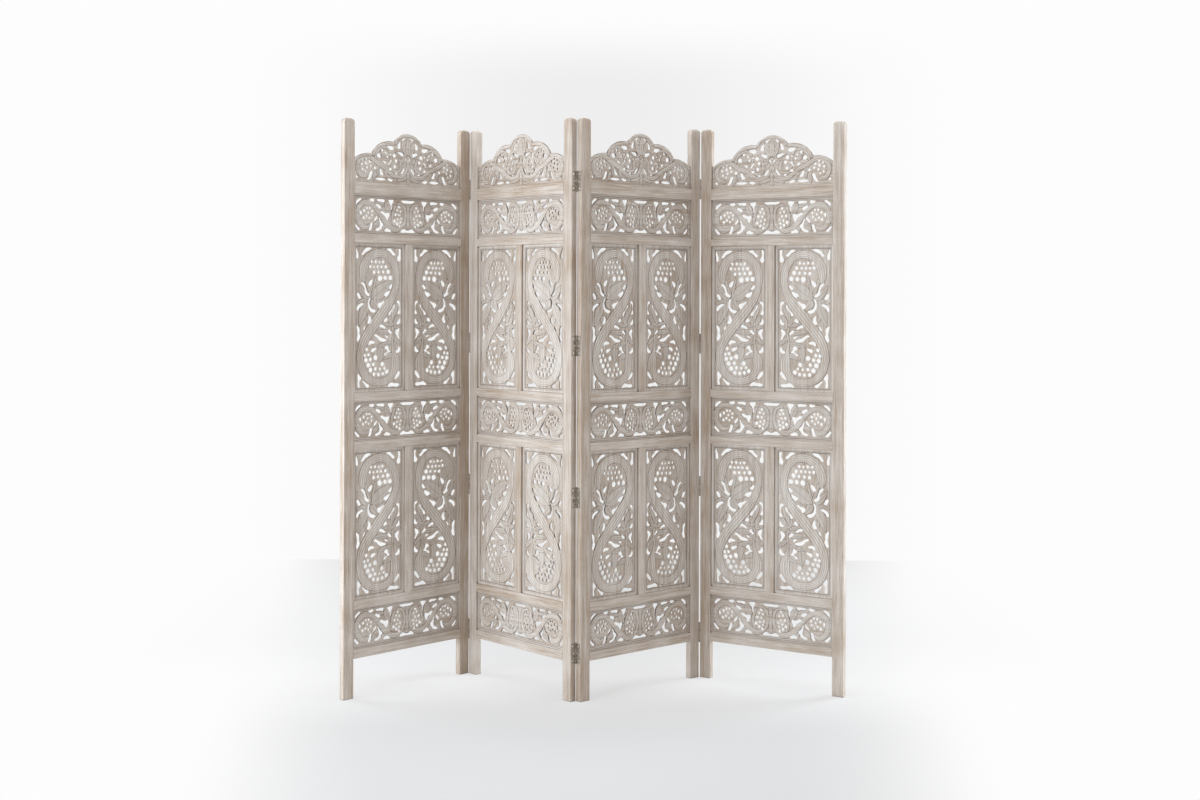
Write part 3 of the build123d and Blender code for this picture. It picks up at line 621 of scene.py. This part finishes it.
# The tall design is a vine that rises in an S round two bunches of grapes, x from the left and y
# down from the top. A bunch is its centre and half sizes, and a path row is x, y and half width.
tallDesign = {
    "size": (202.5, 474.0),
    "mirrored": False,
    "fromTop": True,
    "border": 12.0,
    "bunches": [
        (100, 72, 40, 26), (122, 100, 34, 20), (72, 376, 34, 32), (100, 404, 44, 24), (56, 350, 18, 22)],
    "strokes": [
        {"bands": 4, "path": [
            (40, 118, 8), (38, 100, 14), (42, 76, 16), (57, 50, 15), (82, 34, 14), (108, 30, 13),
            (134, 37, 13), (156, 58, 13), (168, 86, 13), (171, 116, 12), (166, 144, 12), (153, 172, 14),
            (133, 198, 17), (112, 224, 18), (90, 250, 18), (68, 276, 17), (50, 300, 17), (37, 326, 16),
            (29, 352, 13), (29, 378, 13), (37, 404, 13), (54, 427, 13), (80, 441, 12), (108, 444, 12),
            (134, 438, 13), (156, 422, 15), (167, 400, 17), (166, 374, 17), (161, 352, 9),
            (157, 332, 5), (155, 312, 4), (158, 290, 4), (156, 268, 4)]},
        {"wide": 23, "path": [(76, 172), (100, 158), (124, 140), (146, 118)]},
        {"bands": 2, "path": [(73, 174, 4), (78, 150, 4), (84, 124, 3.5), (88, 108, 3)]},
        {"bands": 2, "path": [(103, 13, 4), (103, 30, 4), (102, 48, 3.5)]},
        {"bands": 2, "path": [(72, 174, 5), (62, 150, 5), (56, 132, 5), (50, 116, 6)]},
        {"wide": 11, "path": [(70, 174), (48, 166), (32, 150), (20, 132)]},
        {"wide": 7, "path": [(66, 180), (44, 182), (26, 186), (12, 190)]},
        {"wide": 13, "path": [(76, 174), (80, 190), (88, 200), (98, 212)]},
        {"wide": 16, "path": [(58, 182), (46, 206), (34, 232), (24, 262)]},
        {"bands": 2, "path": [(70, 176, 4), (52, 200, 5), (50, 226, 5), (50, 248, 3)]},
        {"wide": 9, "path": [(172, 188), (166, 206), (158, 226), (152, 254)]},
        {"wide": 6, "path": [(154, 264), (138, 260), (118, 254), (100, 254)]},
        {"wide": 8, "path": [(156, 264), (150, 250), (146, 240), (140, 230)]},
        {"wide": 8, "path": [(158, 262), (168, 246), (172, 236), (180, 228)]},
        {"wide": 8, "path": [(158, 266), (168, 266), (178, 264), (190, 262)]},
        {"wide": 8, "path": [(154, 282), (130, 284), (108, 282), (84, 280)]},
        {"wide": 7, "path": [(156, 300), (168, 306), (178, 316), (190, 324)]},
        {"wide": 9, "path": [(152, 316), (132, 322), (112, 326), (94, 328)]},
        {"wide": 12, "path": [(112, 322), (108, 340), (107, 358), (106, 380)]},
        {"wide": 9, "path": [(160, 360), (144, 358), (134, 362), (120, 372)]},
    ],
}

# The band design is the same vine laid down, drawn for the left half and mirrored
bandDesign = {
    "size": (432.0, 128.0),
    "mirrored": True,
    "fromTop": True,
    "border": 9.0,
    "bunches": [(58, 60, 30, 26), (180, 64, 20, 40)],
    "strokes": [
        {"bands": 3, "path": [
            (62, 98, 5), (46, 104, 8), (30, 96, 9), (19, 79, 9), (16, 58, 9), (24, 38, 9), (43, 25, 9),
            (66, 25, 9), (86, 38, 8), (103, 55, 9), (120, 76, 10), (134, 92, 10), (150, 103, 9),
            (170, 107, 8), (188, 100, 7), (200, 88, 6), (205, 70, 5), (205, 50, 5), (200, 34, 5),
            (190, 26, 4), (176, 24, 4)]},
        {"bands": 2, "path": [
            (164, 30, 4), (158, 46, 5), (154, 62, 5), (154, 78, 5), (160, 92, 5)]},
        {"bands": 2, "path": [(213, 22, 3.5), (214, 60, 3.5), (213, 104, 3.5)]},
        {"wide": 12, "path": [(126, 22), (134, 34), (140, 46), (146, 60)]},
        {"wide": 7, "path": [(84, 25), (98, 26), (112, 28), (128, 32)]},
        {"wide": 8, "path": [(100, 80), (92, 90), (84, 98), (76, 110)]},
        {"wide": 8, "path": [(120, 112), (122, 104), (128, 96), (134, 90)]},
    ],
}

# The crest design: a rim follows the lobes over scrolls, small grapes and a lotus; x from the left
# and y up from the top rail, the left half mirrored
crestDesign = {
    "size": (432.0, 167.0),
    "mirrored": True,
    "fromTop": False,
    "border": 0.0,
    "bunches": [(50, 56, 24, 26), (134, 98, 22, 16)],
    "strokes": [
        {"bands": 2, "path": [
            (1, 64, 5), (15, 77, 5), (32, 84, 5), (50, 88.5, 5), (68, 90, 5)]},
        {"bands": 2, "path": [
            (77, 92, 5), (86, 108, 5), (102, 121, 5), (122, 128, 5), (140, 131, 5), (158, 132, 5)]},
        {"bands": 2, "path": [
            (164, 134, 5), (173, 148, 5), (188, 157, 5), (204, 161, 5), (218, 162, 5)]},
        {"bands": 2, "path": [
            (46, 20, 6), (28, 24, 7), (17, 40, 7), (17, 58, 7), (26, 74, 7), (44, 82, 7), (62, 82, 7),
            (80, 74, 7), (96, 64, 7), (112, 57, 7), (130, 48, 7), (146, 35, 7), (164, 26, 7),
            (184, 26, 6), (200, 34, 6), (210, 50, 5), (214, 66, 4)]},
        {"bands": 2, "path": [
            (86, 84, 5), (88, 98, 5), (100, 110, 5), (116, 118, 5), (132, 116, 4), (144, 104, 4)]},
        {"bands": 2, "path": [
            (148, 88, 4), (144, 70, 5), (152, 58, 5), (156, 44, 5), (172, 42, 5), (184, 50, 5),
            (186, 68, 5), (180, 84, 4)]},
        {"wide": 9, "path": [(128, 84), (120, 90), (114, 96), (106, 104)]},
        {"wide": 10, "path": [(216, 98), (216, 116), (216, 134), (216, 156)]},
        {"wide": 9, "path": [(210, 96), (202, 114), (196, 130), (190, 144)]},
        {"wide": 8, "path": [(206, 92), (192, 98), (178, 102), (164, 104)]},
        {"wide": 8, "path": [(206, 88), (196, 80), (186, 74), (174, 66)]},
        {"wide": 9, "path": [(210, 22), (196, 22), (184, 18), (170, 10)]},
        {"bands": 2, "path": [(214, 4, 4), (214, 30, 4), (214, 62, 4), (214, 80, 4)]},
        {"wide": 7, "path": [(84, 40), (84, 28), (80, 20), (78, 6)]},
        {"wide": 8, "path": [(92, 60), (96, 48), (98, 36), (94, 22)]},
        {"wide": 7, "path": [(128, 52), (126, 40), (128, 30), (132, 18)]},
    ],
}

tallBoard = carvedBoard("wing_1_upper_left_carving", wings["wing_1"], tallDesign)
bandBoard = carvedBoard("wing_1_upper_band", wings["wing_1"], bandDesign)
crestBoard = carvedBoard("wing_1_crest", wings["wing_1"], crestDesign)

for wingName, wing in wings.items():
    made = [(f"{level}_{side}_carving", tallBoard, side == "right", carvedUpright)
            for level in ("lower", "upper") for side in ("left", "right")]
    made += [(f"{level}_band", bandBoard, False, carvedLevel) for level in ("lower", "middle", "upper")]
    made += [("crest", crestBoard, False, carvedLevel)]
    for part, board, flipped, finish in made:
        name = f"{wingName}_{part}"
        piece = placeBoard(name + "_relief", board, wing, openingCorner(name, wing), flipped,
                           finish[wingName])
        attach(piece, wingName)
        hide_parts(name)
    print(wingName, "carvings placed:", len(made))

for nodeName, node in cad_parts.items():
    wingName, part = nodeName[:6], nodeName[7:]
    if nodeName.startswith("hinge_pins"):
        finish = pinMetal
    elif part == "hinge_leaves":
        finish = leafMetal
    elif part == "hinge_screws":
        finish = screwMetal
    elif part in frameWashAndShade[wingName]:
        lying = part == "rails"
        finish = woodMaterial("limewashedMango_" + nodeName, wings[wingName]["turn"] if lying else 0.0,
                              "X" if lying else "Z", False, frameWashAndShade[wingName][part])
    else:
        finish = carvedUpright[wingName]
    node.data.materials.clear()
    node.data.materials.append(finish)
print("finishes given to", len(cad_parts), "nodes")

# A pale floor and backdrop under soft strip lights at both sides. Seen by the camera both run out
# to white; under the screen the floor carries painted shade, deeper in front of it, and keeps its
# own shadow, softened, and straight behind the screen the white turns a little grey. Lengths are in
# metres.
studio = {
    "floor": "#dfdfdf",
    "floorHalf": 30,
    "floorShare": 0.6,  # share of the white that lifts the shade under the screen
    "floorShade": 0.085,  # painted shade: how much darker that white is under the screen
    "floorFrontShade": 0.215,  # and how much more painted shade in front of it
    "floorDeepens": (0.1, -0.6),  # depth over which it does
    "floorReach": (0.6, 1.25),  # to each side, over which it turns white
    "floorTaper": 0.15,
    "white": 0.985,
    "darkerBehind": 0.13,  # how much darker the white is straight behind the screen
    "darkerWidth": 1.9,
    "darkerDepth": (0.0, 0.8),
    "darkerTop": (2.29, 2.68),
    "backdropY": 2.4,
    "backdropHalf": 9,
    "backdropTop": 6,
    "ambient": "#ffe2c4",
    "ambientStrength": 0.2,
    "lampColour": "#eff7ff",
}
pureWhite = linear("#ffffff")


def whiteBehind(add, x, share):
    # white, a little darker straight behind the screen where share is 1
    darkerBehind = add("MapRange", add("Math ABSOLUTE", x), 0.0, studio["darkerWidth"], studio["darkerBehind"], 0.0,
               **smooth)
    return add("Math SUBTRACT", studio["white"], add("Math MULTIPLY", darkerBehind, share))


def seenRays(add):
    # rays that show the background: the camera's own, and those off metal or through glass
    shown = add("Math MAXIMUM", add("LightPath", give="Is Camera Ray"),
                add("LightPath", give="Is Glossy Ray"))
    return add("Math MAXIMUM", shown, add("LightPath", give="Is Transmission Ray"))


def stageSheet(name, corners, material):
    mesh = bpy.data.meshes.new(name)
    mesh.from_pydata(corners, [], [(0, 1, 2, 3)])
    mesh.materials.append(material)
    sheet = bpy.data.objects.new(name, mesh)
    bpy.context.scene.collection.objects.link(sheet)


# the floor: a pale matt surface, lifted towards white for the camera alone, with painted shade under and
# in front of the screen
material, add = newMaterial("paleStudioFloor")
place = add("TexCoord", give="Object")
x, y = (add("SeparateXYZ", place, give=axis) for axis in "XY")
aside = add("Math MULTIPLY_ADD", y, -studio["floorTaper"], add("Math ABSOLUTE", x))
near = add("MapRange", aside, *studio["floorReach"], 1.0, 0.0, **smooth)
# painted shade under the screen, deeper in front of it
shadeUnder = studio["floorShade"]
front = add("MapRange", y, *studio["floorDeepens"], shadeUnder, shadeUnder + studio["floorFrontShade"], **smooth)
white = whiteBehind(add, x, add("MapRange", y, *studio["darkerDepth"], 0.0, 1.0, **smooth))
lift = add("Math SUBTRACT", white, add("Math MULTIPLY", near, front))
share = add("Math MULTIPLY_ADD", near, studio["floorShare"] - 1, 1.0)
share = add("Math MULTIPLY", share, add("LightPath", give="Is Camera Ray"))
plain = add("BsdfDiffuse", Color=linear(studio["floor"]))
glow = add("Emission", Color=pureWhite, Strength=lift)
add("OutputMaterial", add("MixShader", share, plain, glow))
half = studio["floorHalf"]
stageSheet("studioFloor", [(-half, -half, 0), (half, -half, 0), (half, half, 0), (-half, half, 0)],
           material)

# the backdrop: white for the camera, dim to the light it gives, and clear from behind
material, add = newMaterial("whiteBackdrop")
place = add("TexCoord", give="Object")
x, z = (add("SeparateXYZ", place, give=axis) for axis in "XZ")
darkerLow = add("MapRange", z, *studio["darkerTop"], 1.0, 0.0, **smooth)
white = add("Emission", Color=pureWhite, Strength=whiteBehind(add, x, darkerLow))
ambient = add("Emission", Color=linear(studio["ambient"]), Strength=studio["ambientStrength"])
front = add("MixShader", seenRays(add), ambient, white)
behind = add("NewGeometry", give="Backfacing")
add("OutputMaterial", add("MixShader", behind, front, add("BsdfTransparent")))
half, wallY, top = studio["backdropHalf"], studio["backdropY"], studio["backdropTop"]
stageSheet("backdrop", [(-half, wallY, 0), (half, wallY, 0), (half, wallY, top), (-half, wallY, top)],
           material)

# the world gives the same dim light, and is white where it is seen
world = bpy.data.worlds.new("studioWorld")
bpy.context.scene.world = world
world.use_nodes = True
world.node_tree.nodes.clear()
add = partial(addNode, world.node_tree)
sky = add("Background", Color=linear(studio["ambient"]), Strength=studio["ambientStrength"])
white = add("Background", Color=pureWhite, Strength=studio["white"])
add("OutputWorld", add("MixShader", seenRays(add), sky, white))

# soft lights: bearing in degrees to the right of the viewer, distance and height in metres, size
# and power; what a lamp doesn't say it takes from the strip
strip = {"far": 3.4, "height": 1.35, "size": (1.5, 2.3)}
lamps = {
    "leftBack": {"bearing": -110, "power": 78},
    "leftSide": {"bearing": -65, "power": 44},
    "leftFront": {"bearing": -45, "power": 56},
    "rightSide": {"bearing": 70, "power": 37},
    "rightBack": {"bearing": 110, "power": 122},
    "top": {"bearing": 0, "power": 63, "far": 0.3, "height": 3.6, "size": (3.0, 2.4)},
}
aim = Vector((0, 0, 0.95))
for name, own in lamps.items():
    lamp = {**strip, **own}
    data = bpy.data.lights.new(name, "AREA")
    data.shape = "RECTANGLE"
    data.size, data.size_y = lamp["size"]
    data.energy = lamp["power"]
    data.color = linear(studio["lampColour"])[:3]
    light = bpy.data.objects.new(name, data)
    bpy.context.scene.collection.objects.link(light)
    bearing = math.radians(lamp["bearing"])
    light.location = (lamp["far"] * math.sin(bearing), -lamp["far"] * math.cos(bearing), lamp["height"])
    light.rotation_euler = (aim - light.location).to_track_quat("-Z", "Y").to_euler()
    light.visible_camera = False
print("lamps set:", len(lamps))

# a level camera, shifted down instead of tilted, with a slight roll in degrees
view = {"place": (0.0159, -4.8453, 1.2443), "roll": -0.149, "lens": 44.655, "sensor": 36.0,
        "shift": -0.07968}
camera = bpy.data.objects.new("camera", bpy.data.cameras.new("camera"))
bpy.context.scene.collection.objects.link(camera)
camera.location = view["place"]
camera.rotation_euler = (math.radians(90), math.radians(view["roll"]), 0)
camera.data.lens = view["lens"]
camera.data.sensor_width = view["sensor"]
camera.data.shift_y = view["shift"]
bpy.context.scene.camera = camera
bpy.context.scene.view_settings.view_transform = "Standard"
print("studio ready")
